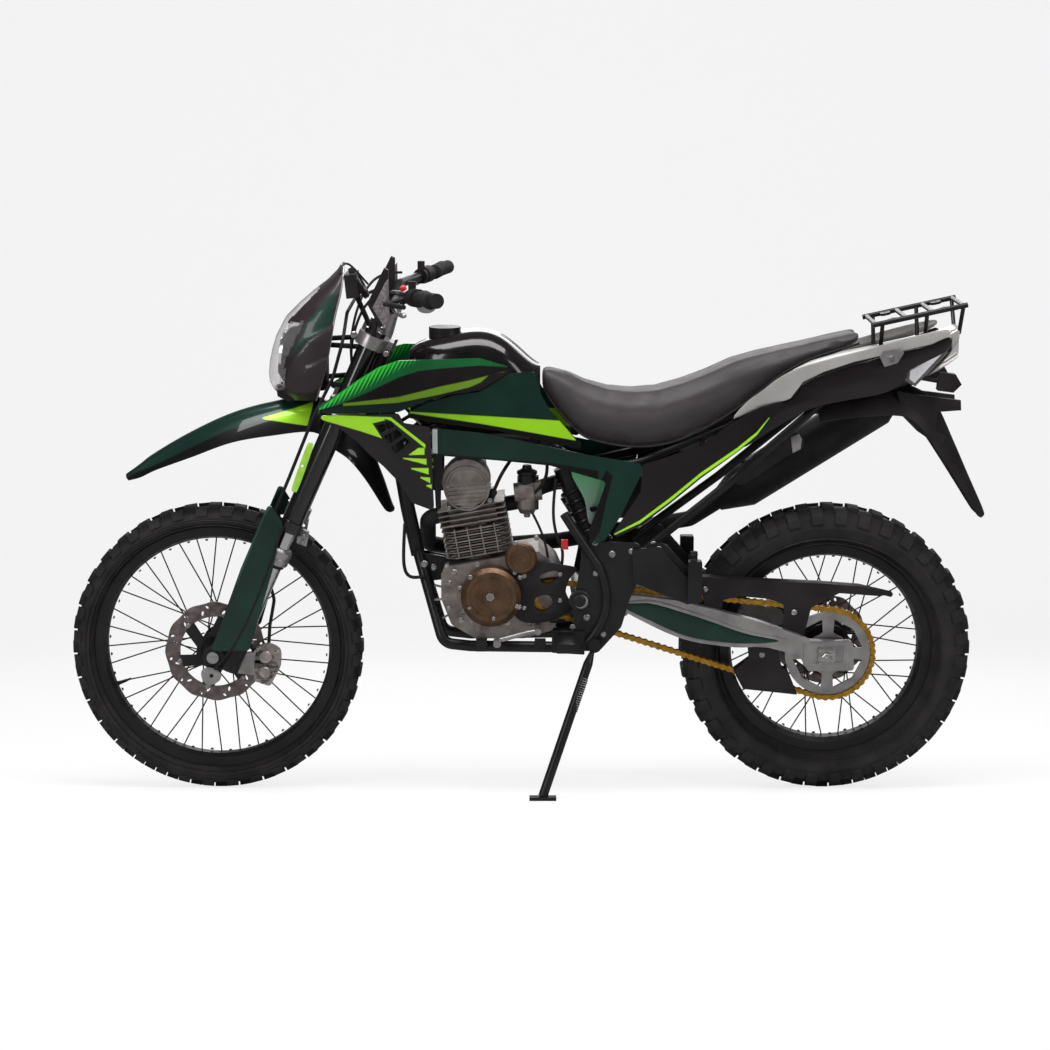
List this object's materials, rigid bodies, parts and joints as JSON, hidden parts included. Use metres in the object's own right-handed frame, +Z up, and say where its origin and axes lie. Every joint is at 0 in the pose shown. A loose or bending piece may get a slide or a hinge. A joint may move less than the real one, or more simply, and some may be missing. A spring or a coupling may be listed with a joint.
{
  "type": "dual sport motorcycle",
  "caption": "Dual sport motorcycle on its side stand, with spoked wheels, lugged tyres, upside-down fork, fixed chain loop and turning bars.",
  "frame": {"origin": "middle of the bounding box's bottom, on the ground", "axes": "-X forward, +X to the rear, -Y the rider's left, +Z up; the machine leans to -Y on its side stand"},
  "size_m": [2.1574, 0.8104, 1.2745],
  "materials": {
    "black_metal": "black satin paint",
    "bright_green": "bright green gloss",
    "bronze": "bronze paint",
    "chrome": "polished",
    "clear": "clear",
    "engine_silver": "cast",
    "gloss_black": "black gloss",
    "gold": "gold plated links",
    "matte_black": "dark grey moulded",
    "painted_green": "dark green gloss",
    "rubber": "matt black",
    "seat": "grained vinyl",
    "silver": "cast, satin",
    "steel": "ground",
    "tyre": "matt black"
  },
  "bodies": {
    "chassis": {"frame_backbone": "black_metal", "crankcase": "engine_silver", "frame_cradle": "black_metal", "frame_plates": "black_metal", "subframe": "black_metal", "swingarm": "silver", "arm_bolts": "steel", "rear_shock": "black_metal", "footpegs": "steel", "foot_controls": "silver", "chain": "gold", "chain_guard": "matte_black", "rear_caliper": "silver", "cylinder": "engine_silver", "cylinder_head": "engine_silver", "engine_covers": "bronze", "sprocket_cover": "matte_black", "exhaust_pipe": "black_metal", "muffler": "black_metal", "intake": "matte_black", "fuel_tank": "gloss_black", "tank_cap": "silver", "seat": "seat", "shrouds_upper": "bright_green", "shrouds_lower": "gloss_black", "tank_panels": "painted_green", "frame_covers": "painted_green", "side_panels": "gloss_black", "tail_cowl": "silver", "tail_light": "clear", "rear_mudguard": "matte_black", "rear_rack": "black_metal", "rear_indicators": "matte_black"},
    "steering": {"fork_tubes": "black_metal", "fork_stanchions": "chrome", "axle_carriers": "black_metal", "triple_clamps": "silver", "handlebar": "silver", "grips": "rubber", "hand_controls": "black_metal", "instrument": "matte_black", "headlight_cowl": "matte_black", "headlight": "clear", "headlight_housing": "matte_black", "front_fender": "painted_green", "fork_guards": "painted_green", "front_caliper": "silver", "front_indicators": "matte_black", "front_axle": "steel", "brake_hose": "rubber"},
    "front_wheel": {"front_tyre": "tyre", "front_rim": "black_metal", "front_hub": "black_metal", "front_disc": "steel"},
    "rear_wheel": {"rear_tyre": "tyre", "rear_rim": "black_metal", "rear_hub": "black_metal", "rear_disc": "steel", "rear_sprocket": "silver"},
    "side_stand": {"side_stand": "black_metal"}
  },
  "joints": [
    {"name": "steering", "type": "hinge", "parent": "chassis", "child": "steering", "pos_m": [-0.40295, 0.04479, 0.9105], "axis": [0.4099, -0.1427, 0.9009], "range_deg": [-42, 42]},
    {"name": "front_wheel_spin", "type": "hinge", "parent": "steering", "child": "front_wheel", "pos_m": [-0.7337, 0.13473, 0.34263], "axis": [0, 0.9877, 0.1564], "continuous": true},
    {"name": "rear_wheel_spin", "type": "hinge", "parent": "chassis", "child": "rear_wheel", "pos_m": [0.7063, 0.13473, 0.34263], "axis": [0, 0.9877, 0.1564], "continuous": true},
    {"name": "side_stand", "type": "hinge", "parent": "chassis", "child": "side_stand", "pos_m": [0.1563, -0.01084, 0.354], "axis": [0, -1, 0.0074], "range_deg": [0, 98]}
  ]
}
